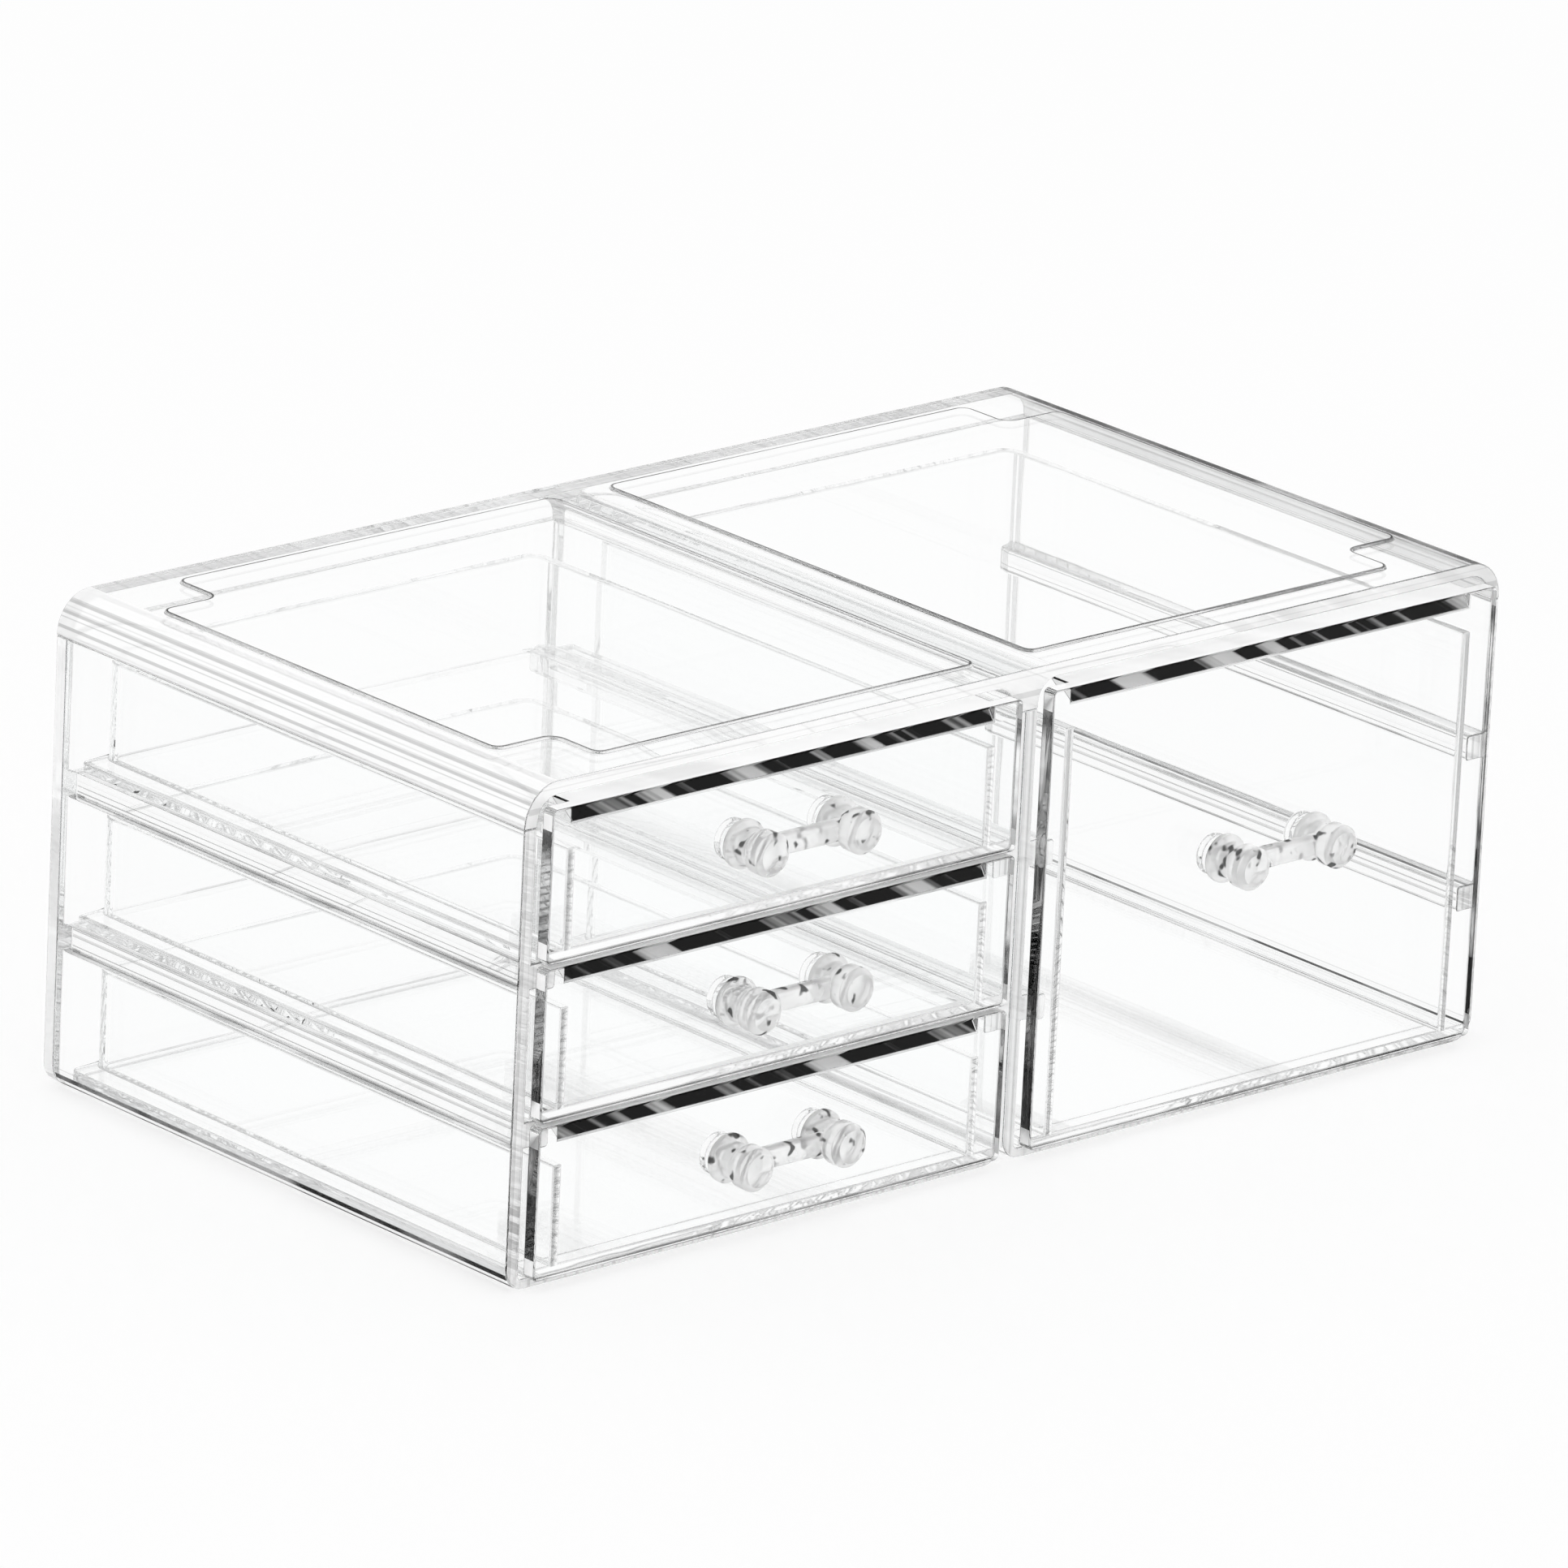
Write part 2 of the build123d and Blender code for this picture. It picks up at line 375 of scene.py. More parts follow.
def cover(nodes, place, along, start, full, least, most):
    """How far a painted layer, of dark reflections and of light alike, covers a face: streaks across a
    direction or spots of one size, from start to full.
    """
    if isinstance(along, tuple):
        run = nodes.value("ShaderNodeVectorMath", "Value", {"operation": "DOT_PRODUCT"}, {0: place, 1: along})
        streaks = {"W": run, "Scale": 1.0, "Detail": 3.0}
        wave = nodes.value("ShaderNodeTexNoise", "Fac", {"noise_dimensions": "1D"}, streaks)
    else:
        wave = noise(nodes, place, along, 1.0)
    return nodes.value(
        "ShaderNodeMapRange",
        "Result",
        {"interpolation_type": "SMOOTHSTEP"},
        {"Value": wave, "From Min": start, "From Max": full, "To Min": least, "To Max": most},
    )


# Kinds of plastic: haze and flow waves per metre, and the setting that says how strongly it bends light
CASE_PLASTIC = (90.0, 60.0, "ior")
TRAY_PLASTIC = (120.0, 80.0, "tray_ior")
DRAWER_PLASTIC = (120.0, 80.0, "ior")
HANDLE_PLASTIC = (400.0, 300.0, "ior")

# Streaks per metre along X, Y and Z
CASE_STREAKS = (31.0, 27.0, 23.0)
DRAWER_STREAKS = (29.0, 21.0, 37.0)

# A look is a plastic and the layers on it, the lowest first. A layer has its paint, its streaks per metre
# along X, Y and Z or its spots per metre, the height of the noise where they start and where they are full,
# and the least and the most that it covers. The dark layers are painted dark reflections and the white
# layers painted light, not colours of the plastic.
# Painted light on the case: white that stands in for the bright backdrop seen in the clear plastic
CASE_PAINTED_LIGHT = (painted_light, DRAWER_STREAKS, 0.30, 0.60, 0.5, 0.7)
LOOKS = {
    "Clear case plastic": (CASE_PLASTIC,),
    # Edge, bend, line, seam, end and rim looks: painted dark reflections along edges and bends
    "Trough edge": (CASE_PLASTIC, (dark, CASE_STREAKS, 0.40, 0.60, 0.02, 0.15)),
    "Trough bend": (CASE_PLASTIC, (dark, (31.0, 13.0, 23.0), 0.35, 0.65, 0.01, 0.05)),
    "Trough end": (CASE_PLASTIC, CASE_PAINTED_LIGHT, (dark, (800.0, 0.0, 0.0), 0.52, 0.64, 0.0, 0.25)),
    "Trough foot": (CASE_PLASTIC, (dark, (0.0, -27.0, 0.0), 0.40, 0.60, 0.5, 0.95)),
    "Runner line": (CASE_PLASTIC, (dark, CASE_STREAKS, 0.40, 0.60, 0.12, 0.5)),
    "Runner side": (CASE_PLASTIC, (dark, (0.0, 0.0, 1000.0), 0.54, 0.64, 0.02, 0.5)),
    "Cover edge": (CASE_PLASTIC, (dark, CASE_STREAKS, 0.40, 0.60, 0.01, 0.1)),
    "Cover seam": (CASE_PLASTIC, (dark, CASE_STREAKS, 0.40, 0.60, 0.08, 0.3)),
    "Cover bend": (CASE_PLASTIC, CASE_PAINTED_LIGHT, (dark, (0.0, 0.0, 700.0), 0.50, 0.62, 0.0, 0.35)),
    "Cover line": (CASE_PLASTIC, (dark, (0.0, 31.0, 0.0), 0.35, 0.60, 0.25, 0.75)),
    "Cover end": (
        CASE_PLASTIC,
        (painted_light, DRAWER_STREAKS, 0.30, 0.60, 0.6, 0.8),
        (dark, (0.0, 0.0, 800.0), 0.50, 0.62, 0.0, 0.2),
    ),
    "Field rim": (CASE_PLASTIC, (dark, CASE_STREAKS, 0.35, 0.60, 0.55, 0.85)),
    "Clear tray plastic": (TRAY_PLASTIC,),
    "Tray edge": (TRAY_PLASTIC, (dark, DRAWER_STREAKS, 0.40, 0.60, 0.04, 0.2)),
    "Tray end": (TRAY_PLASTIC, (dark, (700.0, 0.0, 0.0), 0.45, 0.58, 0.0, 0.45)),
    "Clear drawer plastic": (DRAWER_PLASTIC,),
    "Drawer edge": (DRAWER_PLASTIC, (dark, DRAWER_STREAKS, 0.40, 0.60, 0.12, 0.4)),
    # Painted light on a front's top
    "Satin top": (DRAWER_PLASTIC, (painted_light, DRAWER_STREAKS, 0.30, 0.60, 0.8, 0.95)),
    # Painted dark reflections in the wedge under a front's top edge, with painted light in their gaps
    "Dark bar": (
        DRAWER_PLASTIC,
        (painted_light, DRAWER_STREAKS, 0.30, 0.60, 0.9, 1.0),
        (dark, (95.0, 0.0, 135.0), 0.38, 0.50, 0.0, 1.0),
    ),
    # A painted dark reflection strip in a front's ends
    "Dark end": (DRAWER_PLASTIC, (dark, (0.0, 0.0, 45.0), 0.36, 0.60, 0.05, 0.85)),
    # Painted light over the handle, with painted dark reflections as spots
    "Clear handle plastic": (
        HANDLE_PLASTIC,
        (painted_light, 150.0, 0.30, 0.60, 0.25, 0.45),
        (dark, 400.0, 0.62, 0.72, 0.0, 0.85),
    ),
    "Clear cap plastic": (HANDLE_PLASTIC,),
}


def look(name):
    """The material of that name, made when it is first asked for."""
    material = bpy.data.materials.get(name)
    if material:
        return material
    (haze_scale, wave_scale, bend), *layers = LOOKS[name]
    material = bpy.data.materials.new(name)
    nodes = cleared_nodes(material)
    place = nodes.socket("ShaderNodeTexCoord", "Object")
    surface = plastic(nodes, place, haze_scale, wave_scale, getattr(settings().finish, bend))
    for paint, *marks in layers:
        mask = cover(nodes, place, *marks)
        surface = nodes.socket("ShaderNodeMixShader", 0, None, {0: mask, 1: surface, 2: paint(nodes)})
    nodes.add("ShaderNodeOutputMaterial", None, {"Surface": surface})
    return material


# Meshes

def touching(first, second):
    """Whether two coordinates are one."""
    return abs(first - second) < TOUCH


def soft_corners(corners, steps=6):
    """A closed outline from corners (x, y, radius), each turned into an arc that meets both sides."""
    outline = []
    for before, corner, after in zip(corners[-1:] + corners[:-1], corners, corners[1:] + corners[:1]):
        here = Vector(corner[:2])
        points = [here]
        if corner[2]:
            back = (Vector(before[:2]) - here).normalized()
            ahead = (Vector(after[:2]) - here).normalized()
            half = back.angle(ahead) / 2
            centre = here + (back + ahead).normalized() * corner[2] / math.sin(half)
            reach = corner[2] / math.tan(half)
            first = here + back * reach - centre
            last = here + ahead * reach - centre
            start = math.atan2(first.y, first.x)
            turn = (math.atan2(last.y, last.x) - start + math.pi) % math.tau - math.pi
            angles = [start + turn * step / steps for step in range(steps + 1)]
            points = [centre + Vector((math.cos(a), math.sin(a))) * corner[2] for a in angles]
        outline += [p for p in points if not outline or (p - outline[-1]).length > TOUCH]
    return outline


def halves(hole):
    """A hole's low and high paths, both from its leftmost to its rightmost point."""
    left = min(range(len(hole)), key=lambda i: hole[i][0])
    hole = hole[left:] + hole[:left]
    right = max(range(len(hole)), key=lambda i: hole[i][0])
    paths = [hole[: right + 1], [hole[0]] + hole[:right - 1:-1]]
    return sorted(paths, key=lambda path: sum(p[1] for p in path) / len(path))


def around_holes(low, high, holes):
    """Two faces that fill an outline with holes in a row; its low and high paths run left to right."""
    lows, highs = zip(*(halves(hole) for hole in reversed(holes)))
    return [
        low + [p for path in lows for p in reversed(path)],
        high + [p for path in highs for p in reversed(path)],
    ]


def flat(outline, **fixed):
    """Points of an outline put on a plane: the one fixed axis is named, the other two follow in order."""
    (axis, value), = fixed.items()
    at = "xyz".index(axis)
    return [(*p[:at], value, *p[at:]) for p in (tuple(q) for q in outline)]


class Skin:
    """A closed surface gathered face by face from loops of points. Faces without a look get its first one."""

    def __init__(self, *looks):
        self.mesh = bmesh.new()
        self.looks = list(looks)

    def face(self, loop, look_name=None):
        if look_name and look_name not in self.looks:
            self.looks.append(look_name)
        made = self.mesh.faces.new([self.mesh.verts.new(point) for point in loop])
        made.material_index = self.looks.index(look_name) if look_name else 0

    def band(self, first, second, look_name=None, closed=True):
        """Quads between two like rows of points."""
        pairs = list(zip(first, second))
        for (a, b), (c, d) in zip(pairs, pairs[1:] + (pairs[:1] if closed else [])):
            self.face((a, c, d, b), look_name)

    def strip(self, start, end, front, back, look_name=None):
        """One quad from front to back over a side of an outline in X and Z."""
        self.band(flat([start, end], y=front), flat([start, end], y=back), look_name, closed=False)

    def plate(self, left, right, front, back, level, holes):
        """A level rectangle with holes in a row."""
        rim = [(left, front), (left, back), (right, back), (right, front)]
        for loop in around_holes([rim[0], rim[-1]], rim, holes):
            self.face(flat(loop, z=level))

    def turned(self, profile, middle, steps):
        """Turns a profile of (radius, distance towards -Y) about an axis along Y through middle."""
        rows = []
        for step in range(steps):
            turn = math.tau * step / steps
            way = Vector((math.cos(turn), 0.0, math.sin(turn)))
            rows.append([middle + way * r - Vector((0.0, d, 0.0)) for r, d in profile])
        for row, following in zip(rows, rows[1:] + rows[:1]):
            self.band(row, following, closed=False)

    def object(self, name):
        """Merges the seams, turns the faces outwards and puts the surface in the scene with its looks."""
        bmesh.ops.remove_doubles(self.mesh, verts=self.mesh.verts, dist=SEAM)
        bmesh.ops.dissolve_degenerate(self.mesh, edges=self.mesh.edges, dist=TOUCH)
        bmesh.ops.recalc_face_normals(self.mesh, faces=self.mesh.faces)
        loose = [edge for edge in self.mesh.edges if not edge.is_manifold]
        if loose:
            raise RuntimeError(f"{name} isn't closed: {len(loose)} open edges")
        data = bpy.data.meshes.new(name)
        self.mesh.to_mesh(data)
        self.mesh.free()
        for look_name in self.looks:
            data.materials.append(look(look_name))
        piece = bpy.data.objects.new(name, data)
        bpy.context.scene.collection.objects.link(piece)
        return piece


def plain_mesh(piece):
    """Puts what a piece's modifiers make of it into its own mesh."""
    graph = bpy.context.evaluated_depsgraph_get()
    data = bpy.data.meshes.new_from_object(piece.evaluated_get(graph), depsgraph=graph)
    piece.modifiers.clear()
    piece.data = data


def rounded_edges(piece, width):
    """Rounds every sharp edge, in the piece's second look with its painted dark reflections, and keeps the
    flat faces flat.
    """
    piece.data.shade_smooth()
    bevel = piece.modifiers.new("Edges", "BEVEL")
    bevel.width = width
    bevel.segments = 3
    bevel.material = EDGE_LOOK
    bevel.limit_method = "ANGLE"
    bevel.angle_limit = ROUNDED_TURN
    bevel.use_clamp_overlap = False
    normals = piece.modifiers.new("Normals", "WEIGHTED_NORMAL")
    normals.keep_sharp = True
    plain_mesh(piece)


def turned_finish(piece):
    """Shades a turned piece smooth between its sharp edges."""
    piece.data.shade_smooth()
    piece.data.set_sharp_from_angle(angle=CREASE_TURN)


def settle(piece, node):
    """Lets a piece stand for its node and move with that node's body."""
    bodies = frame["record"]["behaviour"]["bodies"]
    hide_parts(node)
    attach(piece, next(body for body, nodes in bodies.items() if node in nodes))


# Case

def runner_corners(wall_x, tip_x, runner_tops):
    """Corners of the runners on one wall, from the lowest up."""
    case = settings().case
    corners = []
    for level in runner_tops:
        under = level - case.runner_height
        corners += [(wall_x, under, 0), (tip_x, under, case.runner_radius),
                    (tip_x, level, case.runner_radius), (wall_x, level, 0)]
    return corners


def trough_look(start, end, bottom, top, runner_tops):
    """The look of one long strip of a trough's section, with painted dark reflections, or None where it is
    plain.
    """
    case = settings().case
    case_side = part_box("top_cover")[1].x
    low, high = sorted((start.y, end.y))
    slope = (high - low) / (end - start).length
    outside = max(abs(start.x), abs(end.x)) > case_side - case.wall and high < bottom + case.shell_radius
    # Each look below paints dark reflections on the strip
    if outside and any(least < slope < most for least, most in FOOT_SLOPES):
        return "Trough foot"
    if low <= bottom + case.base or high >= top or high - low >= case.runner_height:
        return None
    if abs(start.x) > case_side - case.wall - case.runner_width - TOUCH:
        underside = any(touching(start.y, level - case.runner_height) for level in runner_tops)
        if slope > UPRIGHT_SLOPE:
            return "Runner side"
        if slope < LEVEL_SLOPE and underside:
            return "Runner line"
    return "Trough bend"


def shell(node):
    """One bay's trough with its runners and the recess under its base."""
    case = settings().case
    low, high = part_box(node)
    left = low.x - (case.bond if low.x > CAD_BOX[0].x + case.wall else 0.0)
    right = high.x
    front, back = low.y, high.y + case.bond
    bottom, top = low.z, high.z + case.bond
    base = bottom + case.base
    inner_left, inner_right = low.x + case.wall, high.x - case.wall
    runner_tops = [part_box(f"{drawer}_tray")[0].z - case.run_gap for drawer in RAISED_DRAWERS]
    left_runners = runner_corners(inner_left, inner_left + case.runner_width, runner_tops)
    right_runners = runner_corners(inner_right, inner_right - case.runner_width, runner_tops)
    section = soft_corners([
        (left, top, 0), (left, bottom, case.shell_radius),
        (right, bottom, case.shell_radius), (right, top, 0),
        (inner_right, top, 0), *right_runners[::-1], (inner_right, base, case.bay_radius),
        (inner_left, base, case.bay_radius), *left_runners, (inner_left, top, 0),
    ])
    skin = Skin("Clear case plastic", "Trough edge")
    # The front end gets painted light with painted dark reflection streaks
    skin.face(flat(section, y=front), "Trough end")
    skin.face(flat(section, y=back))
    for start, end in zip(section, section[1:] + section[:1]):
        if not (touching(start.y, bottom) and touching(end.y, bottom)):
            skin.strip(start, end, front, back, trough_look(start, end, bottom, top, runner_tops))
    side_inset, end_inset = case.field_strip / 2 - case.recess_play, case.field_end - case.recess_play
    recess_left, recess_right = low.x + side_inset, high.x - side_inset
    recess_front, recess_back = front + end_inset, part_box("back_panel")[1].y - end_inset
    recess = soft_corners([
        (recess_left, recess_front, case.field_radius), (recess_right, recess_front, case.field_radius),
        (recess_right, recess_back, case.field_radius), (recess_left, recess_back, case.field_radius),
    ])
    ceiling = bottom + case.recess_depth
    skin.plate(left + case.shell_radius, right - case.shell_radius, front, back, bottom, [recess])
    skin.band(flat(recess, z=bottom), flat(recess, z=ceiling))
    skin.face(flat(recess, z=ceiling))
    piece = skin.object(f"{node}_clear")
    rounded_edges(piece, case.edge_round)
    settle(piece, node)


def back_panel():
    """The plate that closes both bays at the rear."""
    case = settings().case
    low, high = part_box("back_panel")
    top = high.z + case.bond
    section = soft_corners([
        (low.x, top, 0), (low.x, low.z, case.shell_radius),
        (high.x, low.z, case.shell_radius), (high.x, top, 0),
    ])
    skin = Skin("Clear case plastic", "Trough edge")
    skin.face(flat(section, y=low.y))
    skin.face(flat(section, y=high.y))
    # Its rim faces get painted light with painted dark reflection streaks
    skin.band(flat(section, y=low.y), flat(section, y=high.y), "Trough end")
    piece = skin.object("back_panel_clear")
    rounded_edges(piece, case.edge_round)
    settle(piece, "back_panel")


def field_outline(side, shrink):
    """Outline of the stacking field on one side, shrunk by some length."""
    case = settings().case
    low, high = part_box("top_cover")
    outer = side * (high.x - case.field_side - shrink)
    inner = side * (case.field_strip / 2 + shrink)
    front, back = low.y + case.field_end + shrink, high.y - case.field_end - shrink
    step_in = outer - side * case.notch_width
    notch_front, notch_back = front + case.notch_depth, back - case.notch_depth
    out_turn, in_turn = case.field_radius - shrink, case.field_radius + shrink
    return soft_corners([
        (inner, front, out_turn), (step_in, front, out_turn),
        (step_in, notch_front, in_turn), (outer, notch_front, out_turn),
        (outer, notch_back, out_turn), (step_in, notch_back, in_turn),
        (step_in, back, out_turn), (inner, back, out_turn),
    ])


def top_cover():
    """The cover with its skirts, the hollows over the bays and the raised stacking fields."""
    case = settings().case
    low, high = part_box("top_cover")
    rim, seam = high.z - case.field_step, low.z
    ceiling = rim - case.cover_thickness
    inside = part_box("back_panel")[0].y
    arch = soft_corners([
        (low.x, seam, 0), (low.x, rim, case.cover_radius),
        (high.x, rim, case.cover_radius), (high.x, seam, 0),
    ], steps=10)
    spans = ((low.x + case.wall, -case.wall), (case.wall, high.x - case.wall))
    hollows = [
        soft_corners([
            (first, seam, 0), (first, ceiling, case.hollow_radius),
            (last, ceiling, case.hollow_radius), (last, seam, 0),
        ])
        for first, last in spans
    ]
    skin = Skin("Clear case plastic", "Cover edge")
    # The front face gets painted light with painted dark reflection streaks
    skin.face(flat(arch + hollows[1][::-1] + hollows[0][::-1], y=low.y), "Cover end")
    skin.face(flat(arch, y=high.y))
    for start, end in zip(arch, arch[1:]):
        if not (touching(start.y, rim) and touching(end.y, rim)):
            # The round edges carry painted dark reflections, and the bends also painted light
            line = start.x > 0 and end.x - start.x > LINE_RUN * (end - start).length
            skin.strip(start, end, low.y, high.y, "Cover line" if line else "Cover bend")
    for hollow in hollows:
        skin.band(flat(hollow, y=low.y), flat(hollow, y=inside), closed=False)
        skin.face(flat(hollow, y=inside))
    (left_start, left_end), (right_start, right_end) = ((hollow[0].x, hollow[-1].x) for hollow in hollows)
    seam_ring = [
        (low.x, low.y), (left_start, low.y), (left_start, inside), (left_end, inside), (right_start, inside),
        (right_end, inside), (right_end, low.y), (high.x, low.y), (high.x, high.y), (low.x, high.y),
    ]
    # The seam carries painted dark reflections
    skin.face(flat(seam_ring, z=seam), "Cover seam")
    middle_wall = [(left_end, low.y), (right_start, low.y), (right_start, inside), (left_end, inside)]
    skin.face(flat(middle_wall, z=seam))
    fields = [field_outline(side, 0.0) for side in (-1, 1)]
    tops = [field_outline(side, case.field_slant) for side in (-1, 1)]
    shoulder = high.z - case.field_drop
    skin.plate(low.x + case.cover_radius, high.x - case.cover_radius, low.y, high.y, rim, fields)
    for field, top in zip(fields, tops):
        skin.band(flat(field, z=rim), flat(field, z=shoulder))
        # The slanted rims carry painted dark reflections
        skin.band(flat(field, z=shoulder), flat(top, z=high.z), "Field rim")
        skin.face(flat(top, z=high.z))
    piece = skin.object("top_cover_clear")
    rounded_edges(piece, case.step_round)
    settle(piece, "top_cover")


# Drawers

def tray(drawer):
    """A drawer's floor with its flanges, two sides and a back."""
    case, sizes = settings().case, settings().drawer
    low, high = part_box(f"{drawer}_tray")
    front, back = low.y - case.bond, high.y
    floor_top = low.z + sizes.tray_floor
    left, right = low.x + sizes.flange_width, high.x - sizes.flange_width
    in_left, in_right, in_back = left + sizes.tray_wall, right - sizes.tray_wall, back - sizes.tray_wall
    flange_turn, turn = sizes.flange_radius, sizes.tray_radius
    in_turn = turn - sizes.tray_wall
    sole = soft_corners([
        (low.x, front, 0), (high.x, front, 0), (high.x, back, flange_turn), (low.x, back, flange_turn),
    ])
    outer = soft_corners([(left, front, 0), (left, back, turn), (right, back, turn), (right, front, 0)])
    inner = soft_corners([
        (in_left, front, 0), (in_left, in_back, in_turn), (in_right, in_back, in_turn), (in_right, front, 0),
    ])
    skin = Skin("Clear tray plastic", "Tray edge")
    skin.face(flat(sole, z=low.z))
    skin.face(flat(inner, z=floor_top))
    skin.face(flat(outer + inner[::-1], z=high.z))
    skin.band(flat(inner, z=floor_top), flat(inner, z=high.z), closed=False)
    skin.band(flat(outer, z=floor_top), flat(outer, z=high.z), closed=False)
    front_left, front_right, *arcs = sole
    right_arc, left_arc = arcs[: len(arcs) // 2], arcs[len(arcs) // 2:]
    left_bend, right_bend = outer[: len(outer) // 2], outer[len(outer) // 2:]
    skin.face(flat([front_left, *left_bend, *left_arc], z=floor_top))
    skin.face(flat([front_right, *right_bend[::-1], *right_arc[::-1]], z=floor_top))
    for side in ([front_right, *right_arc], [*left_arc, front_left]):
        skin.band(flat(side, z=low.z), flat(side, z=floor_top), closed=False)
    rear = [left_arc[0], left_bend[-1], right_bend[0], right_arc[-1]]
    skin.face(flat([rear[-1], rear[0]], z=low.z) + flat(rear, z=floor_top))
    sill_tops = (high.x, right, in_right, in_left, left, low.x)
    sill = [(low.x, low.z), (high.x, low.z), *((x, floor_top) for x in sill_tops)]
    skin.face(flat(sill, y=front))
    for first, last in ((left, in_left), (in_right, right)):
        wall_end = [(first, floor_top), (last, floor_top), (last, high.z), (first, high.z)]
        # The wall ends carry painted dark reflections
        skin.face(flat(wall_end, y=front), "Tray end")
    piece = skin.object(f"{drawer}_tray_clear")
    rounded_edges(piece, case.edge_round)
    settle(piece, f"{drawer}_tray")


def knob_middles(drawer):
    """Middles of a handle's knobs on the drawer's front face."""
    sizes = settings().drawer
    low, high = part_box(f"{drawer}_handle")
    middle = (low + high) / 2
    reach = Vector((sizes.knob_spacing / 2, 0.0, 0.0))
    place = Vector((middle.x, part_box(f"{drawer}_front")[0].y, middle.z))
    return [place - reach, place + reach]


def peg_holes(knobs):
    """Outlines of a front's peg holes in X and Z."""
    sizes = settings().drawer
    radius = sizes.peg_diameter / 2 + sizes.peg_play
    turns = [math.tau * step / sizes.hole_steps for step in range(sizes.hole_steps)]
    return [
        [Vector((knob.x + radius * math.cos(turn), knob.z + radius * math.sin(turn))) for turn in turns]
        for knob in knobs
    ]


def drawer_front(drawer):
    """A drawer's pane with its peg holes and the wedge-shaped lip inside its top edge."""
    case, sizes = settings().case, settings().drawer
    low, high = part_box(f"{drawer}_front")
    tray_low, tray_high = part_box(f"{drawer}_tray")
    face, back = low.y, low.y + sizes.front_thickness
    knobs = knob_middles(drawer)
    middle = knobs[0].z
    reach = sizes.flange_width + sizes.lip_inset
    lip_left, lip_right = tray_low.x + reach, tray_high.x - reach
    lip_foot, lip_back = high.z - sizes.lip_height, back + sizes.lip_depth
    # Height of the dark strip at a front's ends, a painted dark reflection, with painted light over and under
    # it
    strip_low, strip_high = low.z + sizes.end_painted_light, high.z - sizes.end_painted_light
    bend = sizes.front_radius
    edge = soft_corners([
        (low.x, middle, 0), (low.x, strip_low, 0), (low.x, low.z, bend),
        (high.x, low.z, bend), (high.x, strip_low, 0), (high.x, middle, 0),
        (high.x, strip_high, 0), (high.x, high.z, bend), (low.x, high.z, bend), (low.x, strip_high, 0),
    ])
    far = next(i for i, p in enumerate(edge) if touching(p.y, middle) and touching(p.x, high.x))
    under, over = edge[: far + 1], [edge[0]] + edge[:far - 1:-1]
    half = len(over) // 2
    lip_root = [(lip_left, high.z), (lip_left, lip_foot), (lip_right, lip_foot), (lip_right, high.z)]
    holes = peg_holes(knobs)
    skin = Skin("Clear drawer plastic", "Drawer edge")
    for loop in around_holes(under, over, holes):
        skin.face(flat(loop, y=face))
    for loop in around_holes(under, over[:half] + lip_root + over[half:], holes):
        skin.face(flat(loop, y=back))
    for hole in holes:
        skin.band(flat(hole, y=face), flat(hole, y=back))
    rows = [face, face + sizes.end_margin, back - sizes.end_margin, back]
    for start, end in zip(edge, edge[1:] + edge[:1]):
        if touching(start.y, high.z) and touching(end.y, high.z):
            continue
        # Upright end faces get the painted dark reflection strip between painted light above and below
        looks = [None, None, None]
        if touching(start.x, end.x):
            in_strip = strip_low < (start.y + end.y) / 2 < strip_high
            looks = [None, "Dark end", None] if in_strip else ["Satin top"] * 3
        for row, next_row, look_name in zip(rows, rows[1:], looks):
            skin.strip(start, end, row, next_row, look_name)
    top_left, top_right = over[half - 1].x, over[half].x
    top = [
        *((top_right, row) for row in rows), (lip_right, back), (lip_right, lip_back),
        (lip_left, lip_back), (lip_left, back), *((top_left, row) for row in reversed(rows)),
    ]
    # The top face and the lip's ends get painted light
    skin.face(flat(top, z=high.z), "Satin top")
    for x in (lip_left, lip_right):
        skin.face([(x, back, lip_foot), (x, lip_back, high.z), (x, back, high.z)], "Satin top")
    slant = [
        (lip_left, back, lip_foot), (lip_right, back, lip_foot),
        (lip_right, lip_back, high.z), (lip_left, lip_back, high.z),
    ]
    # The wedge's slant carries the dark bar: painted dark reflections with painted light in its gaps
    skin.face(slant, "Dark bar")
    piece = skin.object(f"{drawer}_front_clear")
    rounded_edges(piece, case.edge_round)
    settle(piece, f"{drawer}_front")


def knob_profile():
    """A knob's outline as radius and distance from the drawer front, its peg behind the front."""
    case, sizes = settings().case, settings().drawer
    peg, foot = sizes.peg_diameter / 2, sizes.foot_diameter / 2
    neck, barrel = sizes.neck_diameter / 2, sizes.knob_diameter / 2
    peg_end = sizes.front_thickness + sizes.cap_thickness - sizes.cap_skin - sizes.peg_play
    outline = soft_corners([
        (0.0, -peg_end, 0), (peg, -peg_end, sizes.peg_round),
        (peg, -case.bond, 0), (foot, -case.bond, sizes.seat_round),
        (foot, sizes.foot_thickness, sizes.foot_round),
        (neck, sizes.neck_place - sizes.neck_reach, sizes.neck_round),
        (neck, sizes.neck_place + sizes.neck_reach, sizes.throat_round),
        (barrel, sizes.barrel_place, sizes.barrel_round),
        (barrel, sizes.knob_reach - sizes.knob_chamfer, sizes.knob_round),
        (barrel - sizes.knob_chamfer, sizes.knob_reach, sizes.knob_round), (0.0, sizes.knob_reach, 0),
    ], steps=4)
    return [tuple(p) for p in outline]


